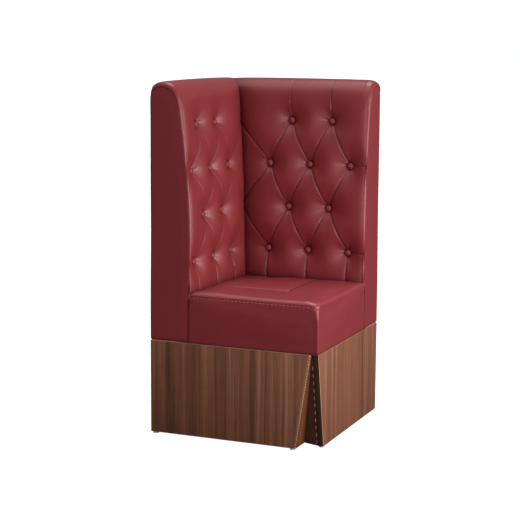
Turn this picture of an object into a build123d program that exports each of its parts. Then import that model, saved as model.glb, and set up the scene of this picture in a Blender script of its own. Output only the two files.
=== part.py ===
from build123d import *
import os
from math import atan2, cos, degrees, hypot, radians, sin, sqrt

# Driving sizes of the booth, in mm. The plan is square: one wing stands on the left side and
# one on the rear side, and the open sides face front (-Y) and right (+X).
plan = 560.0
booth_height = 1105.0
foot_show = 5.0
plinth_height = 295.0
seat_rise = 155.0
cover_gap = 0.3
overrun = 30.0

# Plinth: veneered boards, with a leaning corner notch at the front right.
board = 18.0
notch_top_width = 22.0
notch_bottom_width = 68.0
notch_top_depth = 5.0
notch_bottom_depth = 58.0
return_board = 12.0
return_step = 2.0
return_splay = 16.0
cleat_wide = 40.0
cleat_deep = 40.0
cleat_end_gap = 30.0
corner_block = 40.0
corner_block_drop = 60.0

# Staples that hold the rear return board.
staple_pitch = 24.0
staple_top_gap = 40.0
first_staple = 12.0
staple_crown = 11.0
staple_wire = 1.2
staple_leg = 8.0
staple_edge = 3.0
staple_slack = 0.1

# Levelling feet, their inserts and their bores.
foot_dia = 18.0
foot_top_dia = 15.0
foot_inset = 13.0
stem_dia = 6.0
stem_length = 26.0
insert_dia = 10.0
insert_length = 16.0
stem_clearance = 0.05
stem_bore = 7.0
stem_bore_depth = 40.0

# Seat box, foam and cover.
ply = 18.0
seat_rail_height = 70.0
deck = 15.0
seat_skin = 2.7
seat_wadding = 22.0
seat_crown = 3.0
seat_edge_round = 16.0
seat_corner_round = 9.0
channel_half_width = 5.0
channel_depth = 5.5
outer_channel = 155.0
inner_channel = 320.0

# Wing: timber frame, boards, foam and covers, measured in from the wing's outer face.
wing_reach = 144.0
end_skin = 3.0
outer_skin = 2.5
outer_panel = 6.0
end_board = 12.0
roll_foam = 7.2
tuft_board = 9.0
stud_wide = 30.0
rail_height = 40.0
pad_end_round = 8.0

# Tufting: rows of buttons, staggered by half a pitch.
button_dia = 22.0
button_height = 9.0
button_round = 4.0
button_sink = 20.0
first_button = 64.0
column_pitch = 140.0
first_row_rise = 248.0
row_pitch = 142.0
dimple_dia = 76.0
# The cone's own seam is turned off the place where two pleats cross.
dimple_turn = 20.0
pleat_half_width = 10.0
pleat_depth = 12.0
roll_folds = 3
tie_dia = 2.0
tie_bore = 3.0
knot_dia = 5.0
knot_length = 3.0
washer_dia = 16.0
washer_thick = 2.0

# Bolts through the wing's bottom rail, and brackets under the seat deck.
bolt_dia = 8.0
bolt_bore = 9.0
bolt_head_dia = 14.0
bolt_head = 5.3
bolt_end = 4.0
bolt_washer_dia = 18.0
bolt_washer = 1.6
bolt_from_end = 100.0
bracket_leg = 34.0
bracket_wide = 24.0
bracket_thick = 2.5
bracket_screw_dia = 4.0
bracket_screw_head_dia = 8.0
bracket_screw_head = 1.8
bracket_screw_length = 14.0
bracket_screw_slack = 0.1
bracket_from_corner = 110.0

half = plan / 2
plinth_top = foot_show + plinth_height
seat_top = plinth_top + seat_rise
seat_line = seat_top + cover_gap

# The pad's outer line in the wing's section: shares of the wing's reach, and of the height from
# the seat to the top. Two points are a line and three an arc, up the inner side and over the top.
pad_line_shares = [
    ((0.910, 0.000), (0.976, 0.0203), (1.000, 0.045)),
    ((1.000, 0.045), (1.000, 0.223)),
    ((1.000, 0.223), (0.908, 0.600), (0.757, 0.885)),
    ((0.757, 0.885), (0.660, 0.963), (0.326, 1.000)),
    ((0.326, 1.000), (0.095, 0.979), (0.000, 0.931)),
]
# The pad's end is drawn in like a rounded edge: shares of its round, back from the end and in.
pad_end_shares = [(0.00, 1.00), (0.11, 0.55), (0.45, 0.14), (1.00, 0.00)]
# The foam and the end board share a smaller line inside the cover.
core_line_shares = [
    ((0.757, 0.000), (0.757, 0.377)),
    ((0.757, 0.377), (0.712, 0.638), (0.611, 0.881)),
    ((0.611, 0.881), (0.517, 0.940), (0.312, 0.960)),
    ((0.312, 0.960), (0.101, 0.948), (0.020, 0.930)),
]
# The seam that edges the flat cover on the wing's free end.
seam_line_shares = [
    ((0.908, 0.000), (0.938, 0.223)),
    ((0.938, 0.223), (0.868, 0.576), (0.681, 0.876)),
    ((0.681, 0.876), (0.560, 0.951), (0.306, 0.977)),
    ((0.306, 0.977), (0.083, 0.962), (0.000, 0.916)),
]


def in_section(point):
    """A point of shares as a reach from the wing's outer face and a height."""
    reach, rise = point
    return reach * wing_reach, seat_line + rise * (booth_height - seat_line)


frame_top = in_section(core_line_shares[1][-1])[1]
board_front = in_section(core_line_shares[1][-1])[0] - roll_foam
board_back = board_front - tuft_board
frame_back = outer_skin + cover_gap + outer_panel


def block(x, y, z):
    """A box from its (low, high) pair on each axis."""
    spans = (x, y, z)
    middle = [(low + high) / 2 for low, high in spans]
    return Pos(*middle) * Box(*[high - low for low, high in spans])


def cylinder(radius, low, high, x=0, y=0):
    """An upright round bar between two heights."""
    return Pos(x, y, (low + high) / 2) * Cylinder(radius, high - low)


def joined(shapes):
    """A group of separate solids for one node."""
    return Compound(children=[solid for shape in shapes for solid in shape.solids()])


def swapped(shape):
    """The same piece on the other wing: the plan is mirrored across its diagonal."""
    return mirror(shape, about=Plane(origin=(0, 0, 0), z_dir=(1, 1, 0)))


def frustum(bottom, top, low, high):
    """A board with slanted edges, between a corner list at one height and one at another."""
    faces = [make_face(Polyline(*[(x, y, z) for x, y in points], close=True))
             for points, z in ((bottom, low), (top, high))]
    return loft(faces, ruled=True)


def mitred(shape):
    """The part of a left wing piece that lies on its own side of the corner's mitre."""
    far = plan + overrun
    gap = cover_gap / 2
    corners = [(-far, far - gap), (far, -far - gap), (far, far)]
    beyond = extrude(make_face(Polyline(*corners, close=True)), amount=booth_height + overrun)
    return shape - beyond


# Plinth boards

def notch_x(z):
    """The front board's cut end at a height."""
    rise = (z - foot_show) / plinth_height
    return half - notch_bottom_width + (notch_bottom_width - notch_top_width) * rise


def notch_y(z):
    """The right board's cut end at a height."""
    rise = (z - foot_show) / plinth_height
    return -half + notch_bottom_depth + (notch_top_depth - notch_bottom_depth) * rise


def return_y(x, z):
    """The rear return board's show face: it falls back towards the notch's inner corner."""
    splay = return_splay / (notch_bottom_width - board)
    return notch_y(z) + return_step + splay * (half - board - x)


def foot_places():
    """Plan places of the five feet, each under the middle of a board's lower edge."""
    edge = half - board / 2
    near = half - foot_inset
    return {
        "front_left": (-near, -edge),
        "front_notch": (notch_x(foot_show) - foot_inset, -edge),
        "right_notch": (edge, notch_y(foot_show) + foot_inset),
        "rear_right": (near, edge),
        "rear_left": (-near, edge),
    }


def bored(shape):
    """A plinth board with the bores for the inserts and stems that stand in it."""
    for x, y in foot_places().values():
        shape -= cylinder(insert_dia / 2, foot_show, foot_show + insert_length, x, y)
        shape -= cylinder(stem_bore / 2, foot_show, foot_show + stem_bore_depth, x, y)
    return shape


def plinth_front_board():
    low = [(-half, -half), (notch_x(foot_show), -half),
           (notch_x(foot_show), -half + board), (-half, -half + board)]
    high = [(-half, -half), (notch_x(plinth_top), -half),
            (notch_x(plinth_top), -half + board), (-half, -half + board)]
    return bored(frustum(low, high, foot_show, plinth_top))


def plinth_right_board():
    low = [(half - board, notch_y(foot_show)), (half, notch_y(foot_show)),
           (half, half - board), (half - board, half - board)]
    high = [(half - board, notch_y(plinth_top)), (half, notch_y(plinth_top)),
            (half, half - board), (half - board, half - board)]
    return bored(frustum(low, high, foot_show, plinth_top))


def plinth_left_board():
    side = half - board
    return block((-half, -side), (-side, side), (foot_show, plinth_top))


def plinth_rear_board():
    return bored(block((-half, half), (half - board, half), (foot_show, plinth_top)))


def notch_left_return():
    """The slip that closes the notch's left wall, behind the front board's cut end."""
    corners = []
    for z in (foot_show, plinth_top):
        right = notch_x(z)
        left = right - return_board
        front = -half + board
        rear = return_y(right, z) + return_board
        corners.append([(left, front), (right, front), (right, rear), (left, rear)])
    return frustum(corners[0], corners[1], foot_show, plinth_top)


def notch_rear_return():
    """The splayed board that closes the back of the notch, slotted for its staples."""
    corners = []
    for z in (foot_show, plinth_top):
        left = notch_x(z)
        right = half - board
        corners.append([(left, return_y(left, z)), (right, return_y(right, z)),
                        (right, return_y(right, z) + return_board),
                        (left, return_y(left, z) + return_board)])
    shape = frustum(corners[0], corners[1], foot_show, plinth_top)
    for place in staple_places():
        shape -= place * staple_form(staple_slack)
    return shape


def staple_places():
    """Frames on the return board's face, in a line up the board's right edge."""
    splay = return_splay / (notch_bottom_width - board)
    lean = (notch_top_depth - notch_bottom_depth) / plinth_height
    x = half - board - staple_edge
    places = []
    run = plinth_height - first_staple - staple_top_gap
    for number in range(int(run / staple_pitch) + 1):
        z = foot_show + first_staple + number * staple_pitch
        face = Plane(origin=(x, return_y(x, z), z), x_dir=(0, lean, 1), z_dir=(splay, 1, -lean))
        places.append(Location(face))
    return places


def staple_form(slack):
    """One staple: a crown lying on the face and two legs that go into the board."""
    wire = staple_wire + 2 * slack
    crown = block((-staple_crown / 2 - slack, staple_crown / 2 + slack),
                  (-wire / 2, wire / 2), (-staple_wire / 2 - slack, staple_wire / 2))
    for side in (-1, 1):
        middle = side * (staple_crown - staple_wire) / 2
        crown += block((middle - wire / 2, middle + wire / 2),
                       (-wire / 2, wire / 2), (0, staple_leg + slack))
    return crown


def notch_staples():
    return joined([place * staple_form(0) for place in staple_places()])


def plinth_cleats():
    """Battens under the plinth's top edge, bored where the wing bolts come through."""
    low = plinth_top - cleat_deep
    inner = half - board
    far = inner - cleat_wide
    front = block((-inner, notch_x(low) - cleat_end_gap), (-inner, -far), (low, plinth_top))
    left = block((-inner, -far), (-far, far), (low, plinth_top))
    rear = block((-inner, inner), (far, inner), (low, plinth_top))
    right = block((far, inner), (notch_y(low) + cleat_end_gap, far), (low, plinth_top))
    left, rear = [batten - joined(bolt_bores()) for batten in (left, rear)]
    bores = joined([place * bracket_screw_bore() for place in bracket_places()])
    return joined([batten - bores for batten in (front, left, rear, right)])


def plinth_corner_blocks():
    """Square blocks glued into the three closed corners, under the cleats."""
    inner = half - board
    far = inner - corner_block
    high = plinth_top - cleat_deep
    low = foot_show + corner_block_drop
    ends = [((-inner, -far), (-inner, -far)), ((-inner, -far), (far, inner)),
            ((far, inner), (far, inner))]
    return joined([block(x, y, (low, high)) for x, y in ends])


def levelling_foot(x, y):
    """A round glide on a threaded stem, screwed right in at rest."""
    glide = Pos(x, y, foot_show / 2) * Cone(foot_dia / 2, foot_top_dia / 2, foot_show)
    return glide + cylinder(stem_dia / 2, foot_show, foot_show + stem_length, x, y)


def foot_inserts():
    """Threaded sleeves pressed into the boards' lower edges."""
    sleeves = []
    for x, y in foot_places().values():
        sleeve = cylinder(insert_dia / 2, foot_show, foot_show + insert_length, x, y)
        bore = stem_dia / 2 + stem_clearance
        sleeve -= cylinder(bore, 0, foot_show + insert_length + overrun, x, y)
        sleeves.append(sleeve)
    return joined(sleeves)


# Seat

seat_near = -half + in_section(pad_line_shares[0][0])[0] + cover_gap
box_near = seat_near + seat_skin + cover_gap
box_far = half - seat_skin - cover_gap
rail_top = plinth_top + seat_rail_height
deck_top = rail_top + deck


def crowned(span, low):
    """A plate whose top rises in an arc across its width, drawn in X and Z."""
    near, far = span
    edge = seat_top - seat_crown
    middle = (near + far) / 2
    sides = Polyline((far, 0, edge), (far, 0, low), (near, 0, low), (near, 0, edge))
    top = ThreePointArc((near, 0, edge), (middle, 0, seat_top), (far, 0, edge))
    face = make_face(sides + top)
    return Pos(0, half, 0) * extrude(face, amount=plan, dir=(0, -1, 0))


def channel(points):
    """A sewn seam along a line on the seat: a shallow groove with sloping sides."""
    cuts = []
    apex = seat_top - channel_depth
    tops = seat_top + overrun
    spread = channel_half_width * (tops - apex) / channel_depth
    for (x0, y0), (x1, y1) in zip(points, points[1:]):
        length = hypot(x1 - x0, y1 - y0)
        section = Plane(origin=(x0, y0, apex), x_dir=(y1 - y0, x0 - x1, 0), z_dir=(x1 - x0, y1 - y0, 0))
        wedge = Polyline((0, 0), (-spread, apex - tops), (spread, apex - tops), close=True)
        flip = Polyline((0, 0), (-spread, tops - apex), (spread, tops - apex), close=True)
        upward = (section.y_dir.Z > 0)
        cuts.append(extrude(section * make_face(flip if upward else wedge), amount=length))
    return cuts


def seat_cover():
    """The leather and its wadding: open below, crowned, with rounded edges and two sewn channels."""
    low = plinth_top + cover_gap
    shape = block((seat_near, half), (-half, -seat_near), (low, seat_top))
    upright = [edge for edge in shape.edges().filter_by(Axis.Z)
               if edge.center().X > 0 and edge.center().Y < 0]
    shape = fillet(upright, seat_corner_round)
    reach = -seat_near - seat_corner_round
    rim = [edge for edge in shape.edges().group_by(Axis.Z)[-1]
           if edge.center().X > reach or edge.center().Y < -reach]
    shape = fillet(rim, seat_edge_round)
    shape = shape & crowned((seat_near, half), low)
    shape = shape & swapped(crowned((seat_near, half), low))
    for inset in (outer_channel, inner_channel):
        line = [(seat_near, -half + inset), (half - inset, -half + inset), (half - inset, -seat_near)]
        for cut in channel(line):
            shape -= cut
    hollow = (box_near - cover_gap, half - seat_skin)
    return shape - block(hollow, (-hollow[1], -hollow[0]), (plinth_top - overrun, seat_top - seat_wadding))


def seat_box_rails():
    """Four plywood rails and a middle one, standing on the plinth."""
    z = (plinth_top, rail_top)
    x = (box_near, box_far)
    y = (-box_far, -box_near)
    rails = [block(x, (y[0], y[0] + ply), z), block(x, (y[1] - ply, y[1]), z)]
    middle = (box_near + box_far) / 2
    for low in (x[0], middle - ply / 2, x[1] - ply):
        rails.append(block((low, low + ply), (y[0] + ply, y[1] - ply), z))
    return joined(rails)


def seat_deck():
    return block((box_near, box_far), (-box_far, -box_near), (rail_top, deck_top))


def seat_foam():
    return block((box_near, box_far), (-box_far, -box_near),
                 (deck_top + cover_gap, seat_top - seat_wadding - cover_gap))


def bracket_places():
    """Frames at the feet of the brackets: inside the front and right rails, on the cleats."""
    inner = box_far - ply
    places = []
    for along in (box_near + bracket_from_corner, box_far - bracket_from_corner):
        places.append(Pos(along, -inner, plinth_top))
        places.append(Pos(inner, -along, plinth_top) * Rot(0, 0, 90))
    return places


def bracket_screw_bore():
    radius = bracket_screw_dia / 2 + bracket_screw_slack
    return cylinder(radius, -bracket_screw_length - bracket_screw_slack, bracket_thick, 0, bracket_leg / 2)


def seat_brackets():
    """Steel angles that tie the seat box down to the cleats."""
    wide = (-bracket_wide / 2, bracket_wide / 2)
    angle = block(wide, (0, bracket_leg), (0, bracket_thick))
    angle += block(wide, (0, bracket_thick), (0, bracket_leg))
    angle -= bracket_screw_bore() + cylinder(bracket_screw_dia / 2 + bracket_screw_slack, 0,
                                             overrun, 0, bracket_leg / 2)
    return joined([place * angle for place in bracket_places()])


def seat_bracket_screws():
    """One screw down through each bracket into its cleat."""
    top = bracket_thick + bracket_screw_head
    screw = cylinder(bracket_screw_head_dia / 2, bracket_thick, top, 0, bracket_leg / 2)
    screw += cylinder(bracket_screw_dia / 2, -bracket_screw_length, bracket_thick, 0, bracket_leg / 2)
    return joined([place * screw for place in bracket_places()])


# Wing section

def section(line_shares, inset=0, lift=0):
    """A closed face in the left wing's section, drawn in by an inset, down to the plinth."""
    crown_share = line_shares[-1][0][0]

    def place(point):
        reach, z = in_section(point)
        side = (point[0] > crown_share) - (point[0] < crown_share)
        return (reach - side * inset - half, 0, z - (inset if z > frame_top else 0))

    edges = Curve()
    for points in line_shares:
        places = [place(point) for point in points]
        edges += ThreePointArc(*places) if len(places) == 3 else Line(*places)
    first, last = place(line_shares[0][0]), place(line_shares[-1][-1])
    low = plinth_top + lift
    return make_face(edges + Polyline(last, (last[0], 0, low), (first[0], 0, low), first))


def along(face, start, end=plan):
    """A section drawn out along the left wing, between two distances from its free end."""
    return Pos(0, -half + start, 0) * extrude(face, amount=end - start, dir=(0, 1, 0))


def arc_circle(points):
    """Centre and radius, in the section, of the arc through three points of shares."""
    (ax, az), (bx, bz), (cx, cz) = [in_section(point) for point in points]
    turn = 2 * (ax * (bz - cz) + bx * (cz - az) + cx * (az - bz))
    a, b, c = ax ** 2 + az ** 2, bx ** 2 + bz ** 2, cx ** 2 + cz ** 2
    mx = (a * (bz - cz) + b * (cz - az) + c * (az - bz)) / turn
    mz = (a * (cx - bx) + b * (ax - cx) + c * (bx - ax)) / turn
    return mx, mz, hypot(ax - mx, az - mz)


def pad_surface(z):
    """The pad's reach at a height and the angle by which it leans back there."""
    straight, leaning = pad_line_shares[1], pad_line_shares[2]
    if z <= in_section(straight[1])[1]:
        return wing_reach, 0
    mx, mz, radius = arc_circle(leaning)
    out = sqrt(radius ** 2 - (z - mz) ** 2)
    return mx + out, degrees(atan2(z - mz, out))


def button_rows():
    """Heights of the rows, and the buttons' distances from the wing's free end in each."""
    lowest = plinth_top + first_row_rise
    highest = frame_top - rail_height - washer_dia / 2
    corner = plan - wing_reach - button_dia
    rows = []
    for number in range(int((highest - lowest) / row_pitch) + 1):
        first = first_button + column_pitch / 2 * (number % 2)
        count = int((corner - first) / column_pitch) + 1
        columns = [first + step * column_pitch for step in range(count)]
        rows.append((lowest + number * row_pitch, columns))
    return rows


def button_seats():
    """A frame at each button's back, its Z pointing out of the pad."""
    seats = []
    for z, columns in button_rows():
        reach, lean = pad_surface(z)
        for column in columns:
            seats.append(Pos(reach - button_sink - half, column - half, z) * Rot(0, 90 - lean, 0))
    return seats


def wing_end_cover():
    """The flat leather panel that closes the wing's free end."""
    return along(section(seam_line_shares, lift=cover_gap), 0, end_skin)


def wing_end_board():
    """The shaped plywood end that gives the wing its profile."""
    start = end_skin + cover_gap
    shape = along(section(core_line_shares, cover_gap), start, start + end_board)
    behind = (-half - overrun, -half + outer_skin + cover_gap)
    return shape - block(behind, (-half, half), (0, booth_height))


def wing_outer_cover():
    """The leather on the wing's back."""
    top = in_section(core_line_shares[-1][-1])[1]
    return mitred(block((-half, -half + outer_skin), (-half + end_skin + cover_gap, half),
                        (plinth_top + cover_gap, top)))


frame_start = end_skin + cover_gap + end_board
post_start = plan - board_back


def wing_outer_panel():
    """The thin board behind the outer leather."""
    near = -half + outer_skin + cover_gap
    return mitred(block((near, near + outer_panel), (-half + frame_start, half), (plinth_top, frame_top)))


def wing_tuft_board():
    """The drilled board that the buttons are tied back to."""
    shape = mitred(block((-half + board_back, -half + board_front), (-half + frame_start, half),
                         (plinth_top, frame_top)))
    return shape - joined(tie_bores())


def tie_bores():
    """A bore for each button's tie, from the button's back through the board."""
    bores = []
    for seat in button_seats():
        near = -half + board_back - overrun
        far = seat.position.X + button_height
        bar = Pos((near + far) / 2, seat.position.Y, seat.position.Z) * Rot(0, 90, 0)
        bores.append(bar * Cylinder(tie_bore / 2, far - near))
    return bores


def wing_frame():
    """Rails and studs of softwood: separate bars, glued and dowelled."""
    x = (-half + frame_back, -half + board_back)
    rails = [block(x, (-half + frame_start, -half + post_start), z)
             for z in ((plinth_top, plinth_top + rail_height), (frame_top - rail_height, frame_top))]
    rails[0] -= joined(bolt_bores())
    z = (plinth_top + rail_height, frame_top - rail_height)
    quarter = column_pitch / 4
    starts = [frame_start]
    for column in button_rows()[0][1][1:]:
        starts.append(column - quarter - stud_wide / 2)
    return joined(rails + [block(x, (-half + start, -half + start + stud_wide), z) for start in starts])


def wing_foam():
    """The foam slab and the roll that goes over the top rail."""
    start = frame_start + cover_gap
    shape = along(section(core_line_shares, cover_gap, cover_gap), start)
    shape -= block((-plan, -half + board_front + cover_gap), (-plan, plan), (0, frame_top + cover_gap))
    shape -= block((-plan, -half + outer_skin + cover_gap), (-plan, plan), (0, booth_height))
    shape = mitred(shape)
    return shape - joined(tie_bores())


def pleat(start, end):
    """A sewn fold between two points of the pad, as a wedge that is cut out of it.

    Each point is a distance along the wing and a height."""
    ends = []
    for along_wing, z in (start, end):
        reach, lean = pad_surface(z)
        ends.append((Vector(reach - half, along_wing - half, z), lean))
    (a, lean_a), (b, lean_b) = ends
    lean = radians((lean_a + lean_b) / 2)
    return wedge_between(a, b, Vector(cos(lean), 0, sin(lean)))


def wedge_between(a, b, outward):
    """A long wedge whose sharp edge runs under the line from a to b."""
    line = b - a
    across = line.cross(outward).normalized()
    section_plane = Plane(origin=a, x_dir=across, z_dir=line)
    sign = 1 if section_plane.y_dir.dot(outward) > 0 else -1
    spread = pleat_half_width * (pleat_depth + overrun) / pleat_depth
    corners = [(0, -sign * pleat_depth), (-spread, sign * overrun), (spread, sign * overrun)]
    return extrude(section_plane * make_face(Polyline(*corners, close=True)), amount=line.length)


def pleats():
    """The folds between neighbouring buttons, out to the wing's end, and down to the seat."""
    rows = button_rows()
    cuts = []
    for (z0, low), (z1, high) in zip(rows, rows[1:]):
        wide, narrow = (low, high) if len(low) > len(high) else (high, low)
        wide_z, narrow_z = (z0, z1) if len(low) > len(high) else (z1, z0)
        inner = narrow + [narrow[-1] + column_pitch]
        for place in wide:
            for other in inner:
                if abs(place - other) < column_pitch:
                    cuts.append(pleat((place, wide_z), (other, narrow_z)))
    for z, columns in rows:
        if columns[0] == first_button:
            cuts.append(pleat((0, z), (columns[0], z)))
    foot = in_section(pad_line_shares[0][-1])[1]
    bottom_z, bottom = rows[0]
    for place in bottom:
        cuts.append(pleat((place, foot), (place, bottom_z)))
    return cuts


def top_pleats():
    """Folds from the top row up and over the rear wing's roll."""
    z, columns = button_rows()[-1]
    roll = [in_section(point) for point in pad_line_shares[3]]
    centre_x, centre_z, radius = arc_circle(pad_line_shares[3])
    cuts = []
    for place in columns:
        cuts.append(pleat((place, z), (place, roll[0][1])))
        stops = []
        first = atan2(roll[0][1] - centre_z, roll[0][0] - centre_x)
        last = atan2(roll[2][1] - centre_z, roll[2][0] - centre_x)
        for step in range(roll_folds + 1):
            turn = first + (last - first) * step / roll_folds
            stops.append((Vector(centre_x + radius * cos(turn) - half, place - half,
                                 centre_z + radius * sin(turn)), turn))
        for (a, turn_a), (b, turn_b) in zip(stops, stops[1:]):
            middle = (turn_a + turn_b) / 2
            cuts.append(wedge_between(a, b, Vector(cos(middle), 0, sin(middle))))
    return cuts


def wing_pad_cover(folds):
    """The tufted leather with its wadding, from the seat up and over the top to the back."""
    start = end_skin + cover_gap
    stations = []
    for depth_share, inset_share in pad_end_shares:
        outline = section(pad_line_shares, inset_share * pad_end_round, cover_gap)
        stations.append(Pos(0, -half + start + depth_share * pad_end_round, 0) * outline)
    shape = loft(stations, ruled=True)
    shape += along(section(pad_line_shares, lift=cover_gap), start + pad_end_round)
    core = section(core_line_shares)
    shape -= Pos(0, -overrun, 0) * along(core, 0, plan + 2 * overrun)
    low = in_section(core_line_shares[-1][-1])[1] + cover_gap
    shape -= block((-plan, -half + outer_skin + outer_panel), (-plan, plan), (0, low))
    shape = mitred(shape)
    dimples = []
    height = button_sink + button_round
    cone = Cone(button_dia / 2 + cover_gap, dimple_dia / 2, height)
    dimple = Pos(0, 0, height / 2) * Rot(0, 0, dimple_turn) * cone
    for seat in button_seats():
        dimples.append(seat * dimple)
    for cut in folds + dimples + tie_bores():
        shape -= cut
    return shape


def wing_buttons():
    """Domed buttons covered in the same leather."""
    bottom = Pos(0, 0, button_height / 2) * Cylinder(button_dia / 2, button_height)
    dome = fillet(bottom.edges().sort_by(Axis.Z)[-1], button_round)
    return joined([seat * dome for seat in button_seats()])


def wing_button_ties():
    """Twine from each button back through the board, knotted behind the washer."""
    ties = []
    near = -half + board_back - washer_thick
    for seat in button_seats():
        x, y, z = seat.position
        tip = x - cover_gap
        cord = Pos((near + tip) / 2, y, z) * Rot(0, 90, 0) * Cylinder(tie_dia / 2, tip - near)
        knot = Pos(near - knot_length / 2, y, z) * Rot(0, 90, 0) * Cylinder(knot_dia / 2, knot_length)
        ties.append(cord + knot)
    return joined(ties)


def wing_tie_washers():
    washers = []
    for seat in button_seats():
        place = Pos(-half + board_back - washer_thick / 2, seat.position.Y, seat.position.Z) * Rot(0, 90, 0)
        ring = Cylinder(washer_dia / 2, washer_thick) - Cylinder(tie_bore / 2, washer_thick + overrun)
        washers.append(place * ring)
    return joined(washers)


# Shared corner post and the bolts that hold the wings down

def corner_post():
    span = (-half + frame_back, -half + board_back)
    return block(span, (-span[1], -span[0]), (plinth_top, frame_top))


def bolt_places():
    """Plan places of the bolts: two down each wing, in the middle of the cleats."""
    line = half - board - cleat_wide / 2
    spots = [-half + bolt_from_end, half - board_back - bolt_from_end / 2]
    return [(-line, spot) for spot in spots] + [(-spot, line) for spot in spots]


def bolt_bores():
    low = plinth_top - cleat_deep - overrun / 2
    high = plinth_top + rail_height + overrun / 2
    return [cylinder(bolt_bore / 2, low, high, x, y) for x, y in bolt_places()]


def wing_bolts():
    head_low = plinth_top + rail_height + bolt_washer
    tip = plinth_top - cleat_deep - bolt_washer - bolt_head - bolt_end
    bolts = []
    for x, y in bolt_places():
        shank = cylinder(bolt_dia / 2, tip, head_low, x, y)
        bolts.append(shank + cylinder(bolt_head_dia / 2, head_low, head_low + bolt_head, x, y))
    return joined(bolts)


def wing_bolt_nuts():
    high = plinth_top - cleat_deep - bolt_washer
    nuts = []
    for x, y in bolt_places():
        hexagon = extrude(RegularPolygon(bolt_head_dia / 2, 6) - Circle(bolt_dia / 2), amount=bolt_head)
        nuts.append(Pos(x, y, high - bolt_head) * hexagon)
    return joined(nuts)


def wing_bolt_washers():
    rings = []
    for x, y in bolt_places():
        for low in (plinth_top + rail_height, plinth_top - cleat_deep - bolt_washer):
            ring = cylinder(bolt_washer_dia / 2, low, low + bolt_washer, x, y)
            rings.append(ring - cylinder(bolt_bore / 2, low - overrun, low + overrun, x, y))
    return joined(rings)


# Every node by name

nodes = {
    "plinth_front_board": plinth_front_board(),
    "plinth_right_board": plinth_right_board(),
    "plinth_left_board": plinth_left_board(),
    "plinth_rear_board": plinth_rear_board(),
    "notch_left_return": notch_left_return(),
    "notch_rear_return": notch_rear_return(),
    "notch_staples": notch_staples(),
    "plinth_cleats": plinth_cleats(),
    "plinth_corner_blocks": plinth_corner_blocks(),
    "foot_inserts": foot_inserts(),
    "seat_box_rails": seat_box_rails(),
    "seat_deck": seat_deck(),
    "seat_foam": seat_foam(),
    "seat_cover": seat_cover(),
    "seat_brackets": seat_brackets(),
    "seat_bracket_screws": seat_bracket_screws(),
    "corner_post": corner_post(),
    "wing_bolts": wing_bolts(),
    "wing_bolt_nuts": wing_bolt_nuts(),
    "wing_bolt_washers": wing_bolt_washers(),
}
for side, (x, y) in foot_places().items():
    nodes[f"levelling_foot_{side}"] = levelling_foot(x, y)

wing_pieces = {
    "frame": wing_frame(),
    "outer_panel": wing_outer_panel(),
    "outer_cover": wing_outer_cover(),
    "end_board": wing_end_board(),
    "end_cover": wing_end_cover(),
    "tuft_board": wing_tuft_board(),
    "foam": wing_foam(),
    "buttons": wing_buttons(),
    "button_ties": wing_button_ties(),
    "tie_washers": wing_tie_washers(),
}
for name, shape in wing_pieces.items():
    nodes[f"left_wing_{name}"] = shape
    nodes[f"rear_wing_{name}"] = joined([swapped(solid) for solid in shape.solids()])
nodes["left_wing_pad_cover"] = wing_pad_cover(pleats())
nodes["rear_wing_pad_cover"] = swapped(wing_pad_cover(pleats() + top_pleats()))

os.makedirs("parts", exist_ok=True)
for name, shape in nodes.items():
    export_step(shape, f"parts/{name}.step")
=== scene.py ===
from math import cos, hypot, pi, radians, sin

import bmesh
import bpy
import numpy as np
from mathutils import Matrix, Vector


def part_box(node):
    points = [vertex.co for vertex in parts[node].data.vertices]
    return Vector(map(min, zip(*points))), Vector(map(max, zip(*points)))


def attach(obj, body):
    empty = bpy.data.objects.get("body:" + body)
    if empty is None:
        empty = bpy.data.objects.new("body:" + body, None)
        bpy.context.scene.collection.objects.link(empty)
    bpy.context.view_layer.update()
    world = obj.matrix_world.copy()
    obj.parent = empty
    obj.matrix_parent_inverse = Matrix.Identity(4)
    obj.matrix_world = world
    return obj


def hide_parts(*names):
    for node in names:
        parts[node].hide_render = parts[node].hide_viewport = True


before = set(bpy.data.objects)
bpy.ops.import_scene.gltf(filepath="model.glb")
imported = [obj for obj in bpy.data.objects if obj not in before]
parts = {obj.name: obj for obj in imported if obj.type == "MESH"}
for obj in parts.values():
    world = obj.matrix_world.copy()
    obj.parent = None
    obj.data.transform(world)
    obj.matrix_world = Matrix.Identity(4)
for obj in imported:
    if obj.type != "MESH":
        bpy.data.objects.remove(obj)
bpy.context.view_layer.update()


# Levelling feet: grey moulded glides, each on a zinc-plated threaded stem that screws up into the
# plinth. They keep their turned shape, and get a rubbed grey finish with scuffs near the floor.

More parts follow.
